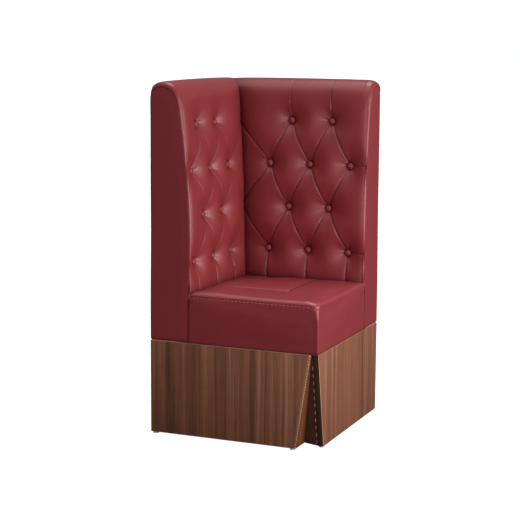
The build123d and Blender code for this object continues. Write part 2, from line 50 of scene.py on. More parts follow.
class Wire:
    """A socket in a finish's node tree. Sums and products of wires add Math nodes."""

    def __init__(self, tree, socket=None):
        self.tree, self.socket = tree, socket

    def node(self, kind, settings, values, result=0):
        """Any other node, as the wire of one of its results: its settings are set first, then
        the values or links of its sockets."""
        made = self.tree.nodes.new("ShaderNode" + kind)
        for name, value in settings.items():
            if name == "stops":
                ramp = made.color_ramp.elements
                for place, colour in value[1:-1]:
                    ramp.new(place)
                for stop, (place, colour) in zip(ramp, value):
                    stop.position, stop.color = place, (*colour, 1)
            else:
                setattr(made, name, value)
        for name, value in values.items():
            socket = made.inputs[name] if isinstance(name, int) else next(
                found for found in made.inputs if name in (found.identifier, found.name))
            if isinstance(value, Wire):
                self.tree.links.new(value.socket, socket)
            else:
                socket.default_value = value
        if isinstance(result, str):
            return Wire(self.tree, next(found for found in made.outputs
                                        if result in (found.identifier, found.name)))
        return Wire(self.tree, made.outputs[result])

    def maths(self, operation, *values):
        return self.node("Math", {"operation": operation}, dict(enumerate(values)))

    def __add__(self, other):
        return self.maths("ADD", self, other)

    def __sub__(self, other):
        return self.maths("SUBTRACT", self, other)

    def __mul__(self, other):
        return self.maths("MULTIPLY", self, other)

    def __radd__(self, other):
        return self.maths("ADD", other, self)

    def __rsub__(self, other):
        return self.maths("SUBTRACT", other, self)

    def __rmul__(self, other):
        return self.maths("MULTIPLY", other, self)

    def ramp(self, low, high):
        """0 below low, 1 above high and smooth between them."""
        return self.node("MapRange", {"interpolation_type": "SMOOTHSTEP"},
                         {"Value": self, "From Min": low, "From Max": high})

    def colours(self, *stops):
        return self.node("ValToRGB", {"stops": stops}, {"Fac": self})

    def mixed(self, one, other):
        """From one colour to the other as this wire goes from 0 to 1."""
        one, other = [(*colour, 1) if isinstance(colour, tuple) else colour
                      for colour in (one, other)]
        return self.node("Mix", {"data_type": "RGBA"},
                         {"Factor_Float": self, "A_Color": one, "B_Color": other}, "Result_Color")

    def noise(self, scale, detail=2.0, roughness=0.5, twist=0.0):
        return self.node("TexNoise", {}, {"Vector": self, "Scale": scale, "Detail": detail,
                                          "Roughness": roughness, "Distortion": twist})

    def stretched(self, *scale):
        """The same coordinates, scaled along each axis."""
        return self.node("Mapping", {}, {"Vector": self, "Scale": scale})

    def axis(self, name):
        return self.node("SeparateXYZ", {}, {"Vector": self}, name)


class Finish:
    """A material, its shader and its object coordinates."""

    def __init__(self, name, **constants):
        self.material = bpy.data.materials.new(name)
        self.material.use_nodes = True
        tree = self.material.node_tree
        self.shader = tree.nodes["Principled BSDF"]
        self.tree = tree
        for socket, value in constants.items():
            self.shader.inputs[socket.replace("_", " ")].default_value = value
        self.place = Wire(tree).node("TexCoord", {}, {}, "Object")

    def feed(self, **wires):
        for socket, wire in wires.items():
            self.tree.links.new(wire.socket, self.shader.inputs[socket.replace("_", " ")])
        return self

    def bump(self, height, depth):
        """Raises the surface where the height is high, by a depth in metres."""
        values = {"Height": height, "Distance": depth, "Strength": 1.0}
        return self.feed(Normal=height.node("Bump", {}, values))


def dress(finish, *names):
    """Gives CAD nodes that show as they are, or lie hidden, a finish in place of their own."""
    for name in names:
        parts[name].data.materials.clear()
        parts[name].data.materials.append(finish.material)


def glide_finish():
    glide = Finish("grey_glide", Specular_IOR_Level=0.4)
    cloud = glide.place.noise(140, 4, 0.6)
    low = 1 - glide.place.axis("Z").ramp(0.0, 0.004)
    scuff = (glide.place.noise(900, 2) * low).ramp(0.4, 0.7)
    glide.feed(Base_Color=scuff.mixed(cloud.mixed((0.36, 0.365, 0.37), (0.46, 0.465, 0.47)),
                                      (0.5, 0.5, 0.5)),
               Roughness=0.42 + 0.25 * cloud)
    return glide.bump(cloud, 0.0002)


feet = ["front_left", "front_notch", "rear_left", "rear_right", "right_notch"]
dress(glide_finish(), *["levelling_foot_" + name for name in feet])


# Inserts, screws, bolts, brackets and staples: zinc-plated steel from the box. They keep their
# CAD shapes, and get a cool plated finish with fine drawing marks and a few dull patches.

def zinc_finish():
    zinc = Finish("zinc_steel", Metallic=0.9)
    cloud = zinc.place.noise(60, 5, 0.65)
    drawn = zinc.place.stretched(1, 1, 0.08).noise(1800, 2)
    zinc.feed(Base_Color=cloud.mixed((0.52, 0.53, 0.55), (0.7, 0.7, 0.7)),
              Roughness=0.28 + 0.3 * cloud + 0.08 * drawn)
    return zinc.bump(drawn, 0.00003)


zinc = zinc_finish()
dress(zinc, "foot_inserts", "seat_bracket_screws", "seat_brackets", "wing_bolt_nuts",
      "wing_bolt_washers", "wing_bolts", "left_wing_tie_washers", "rear_wing_tie_washers")


def staple_finish():
    staple = Finish("bright_staple", Metallic=0.2)
    cloud = staple.place.noise(300, 3, 0.6)
    staple.feed(Base_Color=cloud.mixed((0.95, 0.92, 0.86), (0.78, 0.72, 0.64)),
                Roughness=0.35 + 0.25 * cloud)
    return staple.bump(cloud, 0.00003)


dress(staple_finish(), "notch_staples")


# Softwood inside: the plinth's cleats and corner blocks, the wings' rails and studs and the post
# where they meet. Sawn pine with late-wood lines, some resin streaks and a fuzzy saw surface.

def pine_finish():
    pine = Finish("sawn_pine", Specular_IOR_Level=0.3)
    rings = pine.place.stretched(1, 1, 0.12).noise(22, 3, 0.5, 0.6)
    lines = rings.maths("SINE", rings * 60) * 0.5 + 0.5
    fuzz = pine.place.stretched(1, 1, 0.2).noise(700, 3)
    pine.feed(Base_Color=(lines * 0.7 + fuzz * 0.3).mixed((0.62, 0.42, 0.22), (0.40, 0.22, 0.09)),
              Roughness=0.62 + 0.2 * fuzz)
    return pine.bump(fuzz, 0.0003)


dress(pine_finish(), "plinth_cleats", "plinth_corner_blocks", "left_wing_frame", "rear_wing_frame",
      "corner_post")


# Plywood inside: the seat's box and deck, and the wings' outer panels, end boards and tuft boards.
# Birch faces, with the plies showing as light and dark lines on the cut edges.

def ply_finish():
    ply = Finish("birch_ply", Specular_IOR_Level=0.35)
    layers = ply.place.axis("Z") + ply.place.axis("X") + ply.place.axis("Y")
    lines = ply.place.maths("SINE", layers * 2200).ramp(-0.2, 0.6)
    figure = ply.place.stretched(1, 1, 0.15).noise(35, 4, 0.6, 1.0)
    fleck = ply.place.stretched(1, 1, 0.1).noise(500, 2)
    ply.feed(Base_Color=(figure * 0.6 + lines * 0.25 + fleck * 0.15).mixed((0.66, 0.5, 0.32),
                                                                       (0.46, 0.3, 0.17)),
             Roughness=0.55 + 0.2 * fleck)
    return ply.bump(fleck, 0.0002)


dress(ply_finish(), "seat_box_rails", "seat_deck", "left_wing_outer_panel",
      "rear_wing_outer_panel", "left_wing_end_board", "rear_wing_end_board",
      "left_wing_tuft_board", "rear_wing_tuft_board")


# Ties: waxed twine, one from each button back through the foam and the wing's tuft board, where it
# is knotted on a washer.

def twine_finish():
    twine = Finish("waxed_twine", Specular_IOR_Level=0.3)
    lay = twine.place.axis("X") + twine.place.axis("Y") + twine.place.axis("Z") * 1.5
    strands = twine.place.maths("SINE", lay * 5000) * 0.5 + 0.5
    twine.feed(Base_Color=strands.mixed((0.42, 0.36, 0.26), (0.72, 0.66, 0.52)),
               Roughness=0.6 + 0.2 * strands)
    return twine.bump(strands, 0.0002)


dress(twine_finish(), "left_wing_button_ties", "rear_wing_button_ties")


# Plinth boards: 18 mm board veneered in straight-grained walnut, butted at the corners, with their
# sharp edges just eased. The front and right boards stop at the leaning corner notch.

def walnut_finish(name, shift, painted_light_brightness=1.0, notch=None):
    """Quarter-cut walnut: vertical stripes, fine dark pores, and a light line along the eased top
    edge, partly edge wear and partly a painted highlight.
    The notch is the axis across the board, the leaning cut's slope and its place at the floor,
    the way from it to the board, and whether the veneer beside it is chipped to light dots."""
    walnut = Finish(name, Specular_IOR_Level=0.22)
    across = walnut.place.axis("X") + walnut.place.axis("Y") + shift
    up = walnut.place.axis("Z")
    flat = walnut.place.node("CombineXYZ", {}, {"X": across, "Y": 0.0, "Z": up})
    sway = flat.stretched(6, 1, 2.2).noise(1.0, 2)
    leaf = walnut.place.node("CombineXYZ", {}, {"X": across + 0.012 * sway, "Y": 0.0, "Z": up})
    wide = leaf.stretched(26, 1, 0.5).noise(1.0, 3, 0.55)
    narrow = leaf.stretched(120, 1, 1.6).noise(1.0, 4, 0.62)
    hair = leaf.stretched(640, 1, 7).noise(1.0, 3, 0.6)
    figure = (wide * 0.44 + narrow * 0.36 + hair * 0.20 - 0.5) * 1.15 + 0.5
    # Painted light: the colours are scaled by painted_light_brightness, up on the board whose face
    # gets more light.
    deep, dark, middle, light = [tuple(painted_light_brightness * part for part in colour) for colour in (
        (0.050, 0.019, 0.011), (0.115, 0.042, 0.022), (0.205, 0.078, 0.042),
        (0.330, 0.145, 0.085))]
    wood = figure.colours((0.30, deep), (0.42, dark), (0.54, middle), (0.70, light))
    pores = leaf.stretched(1500, 1, 26).noise(1.0, 1).ramp(0.62, 0.70)
    wood = (pores * 0.55).mixed(wood, (0.028, 0.012, 0.008))
    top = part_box("plinth_front_board")[1].z
    # Edge wear and painted highlight: a light line along the top edge, lighter partly as worn wood
    # and partly as painted light from above.
    edge_wear_and_highlight = up.ramp(top - 0.0016, top - 0.0007) * (0.45 + 0.5 * hair)
    wood = edge_wear_and_highlight.mixed(wood, (0.30, 0.175, 0.10))
    if notch:
        axis, lean, start, way, chipped = notch
        cut = (walnut.place.axis(axis) - up * lean - start) * way
        line = cut.ramp(0.0003, 0.0012) * (1 - cut.ramp(0.0030, 0.0038))
        end = 1 - cut.ramp(0.0002, 0.0005)
        if chipped:
            uneven = flat.stretched(30, 1, 60).noise(1.0, 1)
            chips = up.maths("SINE", up * 720 + 4 * uneven).ramp(-0.1, 0.3)
            second = cut.ramp(0.0058, 0.0068) * (1 - cut.ramp(0.0076, 0.0088)) * (1 - chips)
            wood = (line * chips * 0.95).mixed(wood, (0.78, 0.53, 0.32))
            wood = (second * 0.45).mixed(wood, (0.55, 0.36, 0.22))
            wood = end.mixed(wood, (0.120, 0.045, 0.020))
        else:
            wood = (line * 0.5).mixed(wood, (0.78, 0.53, 0.32))
            wood = end.mixed(wood, (0.050, 0.016, 0.007))
    walnut.feed(Base_Color=wood, Roughness=0.46 + 0.22 * narrow + 0.15 * pores)
    return walnut.bump(figure * 0.6 - pores * 0.5, 0.00025)


def ease_edges(piece, width):
    """Rounds a board's sharp edges by a small width, where faces meet at a clear angle."""
    shell = bmesh.new()
    shell.from_mesh(piece.data)
    bmesh.ops.remove_doubles(shell, verts=shell.verts, dist=1e-5)
    bmesh.ops.dissolve_limit(shell, angle_limit=radians(1), verts=shell.verts, edges=shell.edges)
    sharp = [edge for edge in shell.edges
             if len(edge.link_faces) == 2 and edge.calc_face_angle(0) > radians(25)]
    bmesh.ops.bevel(shell, geom=sharp, offset=width, offset_type="OFFSET", affect="EDGES",
                    segments=2, profile=0.5, material=-1, clamp_overlap=True)
    shell.to_mesh(piece.data)
    shell.free()


def eased_copy(node, name, finish, width):
    """A board that stands for its CAD node, with its edges eased by a width."""
    piece = bpy.data.objects.new(name, parts[node].data.copy())
    bpy.context.scene.collection.objects.link(piece)
    ease_edges(piece, width)
    piece.data.materials.clear()
    piece.data.materials.append(finish.material)
    piece.data.shade_smooth()
    piece.data.set_sharp_from_angle(angle=radians(32))
    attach(piece, "booth")
    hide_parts(node)


# The right board's colours are 5 % brighter than the others': painted light on the side that faces
# the softbox at the right.
for side, shift, painted_light_brightness, notch in (("front", 0.0, 1.0, ("X", 0.1559, 0.2112, -1, True)),
                                       ("right", 1.37, 1.05, ("Y", -0.1797, -0.2211, 1, False)),
                                       ("left", 2.71, 1.0, None),
                                       ("rear", 4.2, 1.0, None)):
    walnut = walnut_finish(f"walnut_{side}", shift, painted_light_brightness, notch)
    eased_copy(f"plinth_{side}_board", f"plinth_{side}_veneered_board", walnut, 0.0007)


# Notch lining: two slips of walnut-faced board close the leaning notch, the left one behind the
# front board's cut end and the splayed rear one held by a row of staples along its right edge.

def lining_finish(name, light, dark):
    """Orange-brown lining board, with its grain upright and between a light and a dark brown."""
    lining = Finish(name, Specular_IOR_Level=0.3)
    across = lining.place.axis("X") + lining.place.axis("Y")
    flat = lining.place.node("CombineXYZ", {}, {"X": across, "Y": 0.0, "Z": lining.place.axis("Z")})
    bands = flat.stretched(60, 1, 40).noise(1.0, 3, 0.6, 0.4)
    fine = flat.stretched(700, 1, 30).noise(1.0, 3)
    lining.feed(Base_Color=(bands * 0.6 + fine * 0.4).mixed(light, dark),
                Roughness=0.5 + 0.25 * fine)
    return lining.bump(fine, 0.0002)


for side, light, dark in (("left", (0.25, 0.070, 0.018), (0.07, 0.020, 0.008)),
                          ("rear", (0.13, 0.050, 0.022), (0.05, 0.020, 0.012))):
    lining = lining_finish(f"lining_{side}", light, dark)
    eased_copy(f"notch_{side}_return", f"notch_{side}_lining", lining, 0.0005)


# Seat cushion: leather over wadding and foam on the seat's box. The front edge is a soft roll with
# a stitched seam under it, the right front corner is pinched, and two nested L seams are sewn in.

SEAM_HEIGHT = 0.4445


def leather_finish(name="burgundy_leather", dull=0.0):
    """Smooth burgundy upholstery leather: a fine pebble, soft mottling, and painted shade, a deep
    red where the crease attribute is high, in creases, hollows, seams and corners. Dull is how much
    rougher it is, and it flattens the pebble."""
    leather = Finish(name, Specular_IOR_Level=0.66, Specular_Tint=(1.0, 0.78, 0.80, 1.0))
    cloud = leather.place.noise(9, 3, 0.55)
    mottle = leather.place.noise(120, 4, 0.6)
    pebble = leather.place.node("TexVoronoi", {"feature": "F1", "voronoi_dimensions": "3D"},
                                {"Vector": leather.place, "Scale": 620.0}, "Distance")
    pull = leather.place.noise(48, 3, 0.55, 0.4)
    crease = leather.place.node("Attribute", {"attribute_name": "crease"}, {}, "Fac")
    hide = cloud.mixed((0.190, 0.0175, 0.0210), (0.215, 0.0210, 0.0245))
    hide = (mottle.ramp(0.3, 0.75) * 0.35).mixed(hide, (0.230, 0.026, 0.029))
    # Painted shade: the leather is darkened towards a deep red, and made a little rougher, where
    # the crease attribute is high.
    hide = (crease * 0.82).mixed(hide, (0.066, 0.0035, 0.0045))
    leather.feed(Base_Color=hide,
                 Roughness=0.345 + dull + 0.08 * cloud + 0.07 * mottle + 0.12 * crease)
    return leather.bump(pebble * 0.16 + pull * 0.5 + mottle * 0.12, 0.0006 * (1 - 3 * dull))


leather = leather_finish()


def new_piece(name, shell):
    """An object in the scene from a bmesh, which is freed."""
    mesh = bpy.data.meshes.new(name)
    shell.to_mesh(mesh)
    shell.free()
    piece = bpy.data.objects.new(name, mesh)
    bpy.context.scene.collection.objects.link(piece)
    return piece


def points_of(mesh):
    places = np.zeros(len(mesh.vertices) * 3)
    mesh.vertices.foreach_get("co", places)
    return places.reshape(-1, 3)


def move_points(mesh, places):
    mesh.vertices.foreach_set("co", places.astype(np.float32).ravel())
    mesh.update()


def apply_modifiers(piece):
    """Gives the piece the mesh that its modifiers make of it."""
    view = bpy.context.evaluated_depsgraph_get()
    mesh = bpy.data.meshes.new_from_object(piece.evaluated_get(view))
    piece.modifiers.clear()
    piece.data = mesh


def set_painted_shade(piece, creases):
    """Stores how much painted shade each point gets, for its finish to darken: shade in creases,
    hollows, seams and corners.
    """
    attribute = piece.data.attributes.new("crease", "FLOAT", "POINT")
    attribute.data.foreach_set("value", creases.astype(np.float32))


def swell(piece, held, cap=0.006, pressure=4.0, frames=20):
    """How far each point goes when the leather is blown up like a filled bag, as cloth, while
    its held points stay. None goes further than the cap."""
    before = points_of(piece.data)
    group = piece.vertex_groups.new(name="held")
    group.add([int(index) for index in np.nonzero(held)[0]], 1.0, "REPLACE")
    cloth = piece.modifiers.new("Cloth", "CLOTH")
    cloth.settings.quality = 4
    cloth.settings.mass = 0.4
    cloth.settings.tension_stiffness = 12
    cloth.settings.compression_stiffness = 12
    cloth.settings.bending_stiffness = 5
    cloth.settings.vertex_group_mass = "held"
    cloth.settings.use_pressure = True
    cloth.settings.uniform_pressure_force = pressure
    cloth.settings.effector_weights.gravity = 0
    cloth.point_cache.frame_start = 1
    cloth.point_cache.frame_end = frames
    for number in range(1, frames + 1):
        bpy.context.scene.frame_set(number)
    view = bpy.context.evaluated_depsgraph_get()
    after = points_of(piece.evaluated_get(view).data)
    piece.modifiers.remove(cloth)
    piece.vertex_groups.remove(group)
    bpy.context.scene.frame_set(1)
    move = after - before
    far = np.linalg.norm(move, axis=1, keepdims=True)
    return move * (cap * np.tanh(far / cap) / np.maximum(far, 1e-9))


def evened(move, edges, turns=12):
    """The moves of a mesh's points, each brought nearer to those around it, turn by turn."""
    one, other = np.array([edge.vertices[:] for edge in edges]).T
    joined = np.bincount(np.concatenate([one, other]), minlength=len(move))[:, None]
    for turn in range(turns):
        around = np.zeros(move.shape)
        np.add.at(around, one, move[other])
        np.add.at(around, other, move[one])
        move = (move + around / joined) / 2
    return move


def line_distance(x, y, ends):
    """Distance of each point from a polyline, where along it the nearest place is from 0 to 1,
    and that place."""
    best = np.full(x.shape, 1e9)
    along, near_x, near_y = np.zeros(x.shape), x.copy(), y.copy()
    lengths = [hypot(b[0] - a[0], b[1] - a[1]) for a, b in zip(ends, ends[1:])]
    gone = 0.0
    for (ax, ay), (bx, by), length in zip(ends, ends[1:], lengths):
        share = np.clip(((x - ax) * (bx - ax) + (y - ay) * (by - ay)) / length ** 2, 0, 1)
        px, py = ax + share * (bx - ax), ay + share * (by - ay)
        far = np.hypot(x - px, y - py)
        closer = far < best
        best = np.where(closer, far, best)
        along = np.where(closer, (gone + share * length) / sum(lengths), along)
        near_x, near_y = np.where(closer, px, near_x), np.where(closer, py, near_y)
        gone += length
    return best, along, near_x, near_y


def step(value, low, high):
    """0 below low, 1 above high and smooth between them."""
    share = np.clip((value - low) / (high - low), 0, 1)
    return share * share * (3 - 2 * share)


def bell(far, width):
    """1 at a line or a place, and next to nothing at twice the width from it."""
    return np.exp(-(far / width) ** 2)


def fading(far, width):
    """1 at a line or a place, and a third of that at the width from it."""
    return np.exp(-far / width)


def rounded_block(name, low, high):
    """A block in small even faces, its right front corner and its top edges rounded."""
    shell = bmesh.new()
    bmesh.ops.create_cube(shell, size=1.0)
    bmesh.ops.scale(shell, verts=shell.verts, vec=Vector(high - low))
    bmesh.ops.translate(shell, verts=shell.verts, vec=Vector((low + high) / 2))

    def edges_at(*sides):
        found = []
        for edge in shell.edges:
            middle = (edge.verts[0].co + edge.verts[1].co) / 2
            spots = {"right": middle.x > high[0] - 0.01, "front": middle.y < low[1] + 0.01,
                     "top": middle.z > high[2] - 0.01}
            if all(spots[side] for side in sides):
                found.append(edge)
        return found

    for sides, width in ((("front", "right"), 0.004), (("top",), 0.024)):
        bmesh.ops.bevel(shell, geom=edges_at(*sides), offset=width, offset_type="OFFSET",
                        affect="EDGES", segments=7, profile=0.5, material=-1, clamp_overlap=True)
    piece = new_piece(name, shell)
    remesh = piece.modifiers.new("Remesh", "REMESH")
    remesh.mode = "VOXEL"
    remesh.voxel_size = 0.0055
    apply_modifiers(piece)
    return piece


def pulled_tight(places, low, high):
    """Pulls the leather tight over the box at its foot and its upright corners, in place."""
    x, y, z = places.T
    sides = 1 - step(z, 0.400, 0.432)
    for line, plane, way, amount in ((x, low[0], 1, sides), (x, high[0], -1, sides),
                                     (y, low[1], 1, sides), (y, high[1], -1, sides),
                                     (z, low[2], 1, 1)):
        deep = (line - plane) * way
        tight = np.interp(deep, (0, 0.0045, 0.012), (0, 0.0016, 0.012))
        line += (np.where((deep > 0) & (deep < 0.012), tight, deep) - deep) * amount * way


def sewn(places, low, high):
    """Lays the crown, the front roll, the channels, the stitched seam and the corner's pinch on the
    cushion, in place, and tells how much painted shade each point gets."""
    x, y, z = places.T
    top = step(z, high[2] - 0.02, high[2] - 0.006)
    u = (x - low[0]) / (high[0] - low[0])
    v = (y - low[1]) / (high[1] - low[1])
    crown = 0.0045 * np.clip(4 * u * (1 - u), 0, 1) ** 0.5 * np.clip(4 * v * (1 - v), 0, 1) ** 0.5
    z += top * (crown - 0.004 * step(v, 0.4, 1.0) * (1 - step(u, 0.0, 0.6)))
    rolled = bell(y - low[1] - 0.017, 0.013) * (1 - step(x, high[0] - 0.05, high[0] - 0.015))
    z += top * rolled * (0.0062 - 0.0024 * u)
    drooped = fading(x - low[0], 0.007) * (1 - step(y, low[1] + 0.03, low[1] + 0.09))
    z -= top * 0.008 * drooped
    # Painted shade: a dark line at the cushion's foot above the plinth, and along its left side
    # against the wing's pad.
    crease = np.maximum(0.95 * fading(z - low[2], 0.0045),
                        0.8 * fading(x - low[0], 0.004) * (1 - top))

    for inset in (0.155, 0.320):
        channel = [(low[0] - 0.02, low[1] + inset), (high[0] - inset, low[1] + inset),
                   (high[0] - inset, high[1] + 0.02)]
        far, along, near_x, near_y = line_distance(x, y, channel)
        snap = (far < 0.0014) & (top > 0.5)
        x[snap], y[snap] = near_x[snap], near_y[snap]
        far[snap] = 0
        z -= top * (0.0030 * bell(far, 0.0023) + 0.0034 * fading(far, 0.013))
        # Painted shade in the bottom of each channel.
        crease = np.maximum(crease, top * bell(far, 0.0018))

    front = 1 - step(y, low[1] + 0.004, low[1] + 0.02)
    away = np.abs(z - SEAM_HEIGHT)
    y += front * (0.0013 * bell(away, 0.0028) + 0.0010 * fading(away, 0.009))
    # Painted shade along the stitched seam.
    crease = np.maximum(crease, front * 0.2 * bell(away, 0.0018))

    corner = np.hypot(x - high[0], y - low[1])
    pinch = bell(corner, 0.016)
    below_seam = 1 - step(z, SEAM_HEIGHT - 0.004, SEAM_HEIGHT + 0.006)
    drawn = 0.0012 * bell(corner, 0.0085) * below_seam - 0.004 * pinch * bell(z - 0.450, 0.012)
    z -= pinch * top * 0.006
    x += drawn
    y -= drawn
    return crease


def seat_cushion():
    """The cushion, pressed 1 mm into both wings' pads."""
    low, high = [np.array(corner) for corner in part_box("seat_cover")]
    low[0] -= 0.0010
    high[1] += 0.0010
    piece = rounded_block("seat_cushion", low, high)
    places = points_of(piece.data)
    held = places[:, 2] < 0.33
    held |= (places[:, 0] < low[0] + 0.004) | (places[:, 1] > high[1] - 0.004)
    swelling = evened(swell(piece, held), piece.data.edges) * (0.35, 0.35, 0.8)
    move_points(piece.data, places + swelling)
    finer = piece.modifiers.new("Finer", "SUBSURF")
    finer.levels = finer.render_levels = 1
    apply_modifiers(piece)

    places = points_of(piece.data)
    pulled_tight(places, low, high)
    crease = sewn(places, low, high)
    move_points(piece.data, places)
    set_painted_shade(piece, crease)
    piece.data.shade_smooth()
    return piece


cushion = seat_cushion()
cushion.data.materials.append(leather.material)
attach(cushion, "booth")
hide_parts("seat_cover", "seat_foam")


# Seat stitches: stout waxed thread, sewn through the leather in one row under the cushion's front
# roll, a stitch every 13 mm.

def thread_finish():
    thread = Finish("rose_thread", Specular_IOR_Level=0.3)
    lay = thread.place.axis("X") + thread.place.axis("Z")
    twist = thread.place.maths("SINE", lay * 9000) * 0.5 + 0.5
    thread.feed(Base_Color=twist.mixed((0.34, 0.070, 0.075), (0.52, 0.150, 0.155)),
                Roughness=0.5 + 0.2 * twist)
    return thread.bump(twist, 0.0001)


def front_stitches():
    low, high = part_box("seat_cover")
    shell = bmesh.new()
    pitch, length, radius = 0.0130, 0.0075, 0.0010
    for number in range(int((high.x - low.x - 0.03) / pitch)):
        made = bmesh.ops.create_cone(shell, cap_ends=True, segments=6, radius1=radius,
                                     radius2=radius, depth=length)["verts"]
        bmesh.ops.rotate(shell, verts=made, cent=(0, 0, 0), matrix=Matrix.Rotation(pi / 2, 3, "Y"))
        place = (low.x + 0.018 + number * pitch, low.y + 0.0012, SEAM_HEIGHT)
        bmesh.ops.translate(shell, verts=made, vec=place)
    return new_piece("seat_front_stitches", shell)


stitches = front_stitches()
stitches.data.materials.append(thread_finish().material)
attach(stitches, "booth")


# Wing pads: leather and wadding over foam, drawn back by the buttons, with folds between the
# buttons. The pad runs up the inner face, over the top and down to the outer cover, its free end
# is rolled to a seam, and the two pads meet in a mitre at the inner corner.

SIDE = 0.280
OUTER_CORNER = 0.010
LEATHER_FOOT = 0.3004


def smooth_line(knots, spacing=0.001):
    """A smooth line through the knots: the length so far, the place and the outward direction at
    even steps along it."""
    knots = np.array(knots, float)
    held = np.vstack([2 * knots[0] - knots[1], knots, 2 * knots[-1] - knots[-2]])
    run = []
    for a, b, c, d in zip(held, held[1:], held[2:], held[3:]):
        t = np.linspace(0, 1, 24, endpoint=False)[:, None]
        run.append(0.5 * (2 * b + (c - a) * t + (2 * a - 5 * b + 4 * c - d) * t ** 2
                          + (3 * b - a - 3 * c + d) * t ** 3))
    run = np.vstack(run + [knots[-1:]])
    length = np.concatenate([[0], np.cumsum(np.linalg.norm(np.diff(run, axis=0), axis=1))])
    even = np.linspace(0, length[-1], int(length[-1] / spacing))
    run = np.stack([np.interp(even, length, run[:, i]) for i in (0, 1)], 1)
    ahead = np.gradient(run, axis=0)
    ahead /= np.linalg.norm(ahead, axis=1, keepdims=True)
    return even, run, np.stack([ahead[:, 1], -ahead[:, 0]], 1)


# Reach from the wing's outer face and height: the pad's crest line, and the seam on its end.
pad_knots = [(0.1290, LEATHER_FOOT), (0.1300, 0.380), (0.1305, 0.426), (0.1365, 0.438),
             (0.1412, 0.449), (0.1430, 0.464), (0.1438, 0.495), (0.1440, 0.560), (0.1438, 0.630),
             (0.1420, 0.700), (0.1395, 0.760), (0.1350, 0.820), (0.1285, 0.885), (0.1215, 0.945),
             (0.1155, 0.995), (0.1095, 1.035), (0.1015, 1.066), (0.0875, 1.088), (0.0700, 1.100),
             (0.0500, 1.1052), (0.0330, 1.1040), (0.0160, 1.0975), (0.0045, 1.0840),
             (0.0006, 1.0600)]
seam_knots = [(0.1290, LEATHER_FOOT), (0.1300, 0.380), (0.1300, 0.438), (0.1306, 0.452),
              (0.1308, 0.463), (0.1320, 0.478), (0.1332, 0.500), (0.1350, 0.560), (0.1345, 0.630),
              (0.1322, 0.700), (0.1302, 0.760), (0.1262, 0.820), (0.1190, 0.885), (0.1115, 0.945),
              (0.1040, 0.995), (0.0960, 1.030), (0.0870, 1.056), (0.0745, 1.0735),
              (0.0600, 1.0835), (0.0450, 1.0880), (0.0300, 1.0862), (0.0150, 1.0800),
              (0.0045, 1.0690), (0.0006, 1.0575)]
pad_length, pad_run, pad_out = smooth_line(pad_knots)
seam_length, seam_run, seam_out = smooth_line(seam_knots)


def knot_lengths(knots, length, run):
    """How far along its line each knot lies."""
    return [length[np.argmin(np.hypot(*(run - np.array(knot)).T))] for knot in knots]


pad_knots_at = knot_lengths(pad_knots, pad_length, pad_run)
seam_knots_at = knot_lengths(seam_knots, seam_length, seam_run)


def read_off(at, length, line):
    """Both values of a line at lengths along it."""
    return [np.interp(at, length, line[:, i]) for i in (0, 1)]


# The rows of buttons, from the bottom: their heights and their distances from the wing's free
# end. In the second and fourth row the folds also run to a tuft hidden in the inner corner.
BUTTON_ROWS = [(0.548, (0.064, 0.204, 0.344)), (0.690, (0.134, 0.274)),
               (0.832, (0.064, 0.204, 0.344)), (0.974, (0.134, 0.274))]
CORNER_TUFTS = (0.418, 0.442)


def up_to(height):
    """How far along the pad's line a height on its inner face is."""
    inner = pad_run[:, 1] < 1.06
    inner[np.argmax(~inner):] = False
    return float(np.interp(height, pad_run[inner, 1], pad_length[inner]))


def tufts():
    return [(along, up_to(height)) for height, columns in BUTTON_ROWS for along in columns]


def folds(top_folds):
    """Each fold as points along the wing and up the pad, and how deep its hollow is midway."""
    rows = [(up_to(height), list(columns)) for height, columns in BUTTON_ROWS]
    rows[1][1].append(CORNER_TUFTS[0])
    rows[3][1].append(CORNER_TUFTS[1])
    found = []
    for (low, below), (high, above) in zip(rows, rows[1:]):
        found += [([(one, low), (other, high)], 0.0046)
                  for one in below for other in above if abs(one - other) < 0.105]
    for along in rows[0][1]:
        found.append(([(along, rows[0][0]), (along + 0.001, up_to(0.436))], 0.0066))
    for up, columns in (rows[0], rows[2]):
        found.append(([(columns[0], up), (0.030, up + 0.001), (-0.020, up - 0.001)], 0.0030))
    if top_folds:
        for along in rows[3][1][:2]:
            found.append(([(along, rows[3][0]), (along + 0.001, up_to(1.05)),
                           (along + 0.002, pad_length[-1])], 0.0016))
    return found


def drawn_in(z):
    """How far the outer side's leather draws in: where it turns under at its foot, and high up."""
    foot = np.clip(LEATHER_FOOT + 0.006 - z, 0, 0.006) / 0.006
    return 0.0024 * (1 - np.sqrt(1 - foot ** 2)) + 0.0007 * step(z, 0.80, 1.00)


def soft_corner(places):
    """Rounds the wing's upright outer corner in plan, less towards its foot."""
    x, y, z = np.moveaxis(places, -1, 0)
    radius = 0.002 + (OUTER_CORNER - 0.002) * step(z, 0.38, 0.72)
    a, b = [np.clip(radius - (side + SIDE), 0, None) for side in (x, y)]
    share = np.maximum(a, b) / np.maximum(np.hypot(a, b), 1e-9)
    inside = (a > 0) & (b > 0)
    x = np.where(inside, radius - a * share - SIDE, x)
    y = np.where(inside, radius - b * share - SIDE, y)
    return np.stack([x + drawn_in(z) * (1 - step(x + SIDE, 0.0, 0.012)), y, z], -1)


def sheet(name, places):
    """A sheet from rows and columns of places, and its points' order in them."""
    rows, columns = places.shape[:2]
    shell = bmesh.new()
    bmesh.ops.create_grid(shell, x_segments=columns - 1, y_segments=rows - 1, size=1.0)
    piece = new_piece(name, shell)
    order = np.argsort(np.lexsort(points_of(piece.data).round(6).T[:2]))
    move_points(piece.data, places.reshape(-1, 3)[order])
    return piece, order


def made_finer(values, rows, columns):
    """A grid of values, read off again at more rows and columns."""
    old_rows, old_columns = values.shape
    down = np.linspace(0, old_rows - 1, rows)
    across = np.linspace(0, old_columns - 1, columns)
    partly = np.array([np.interp(down, np.arange(old_rows), line) for line in values.T]).T
    return np.array([np.interp(across, np.arange(old_columns), line) for line in partly])


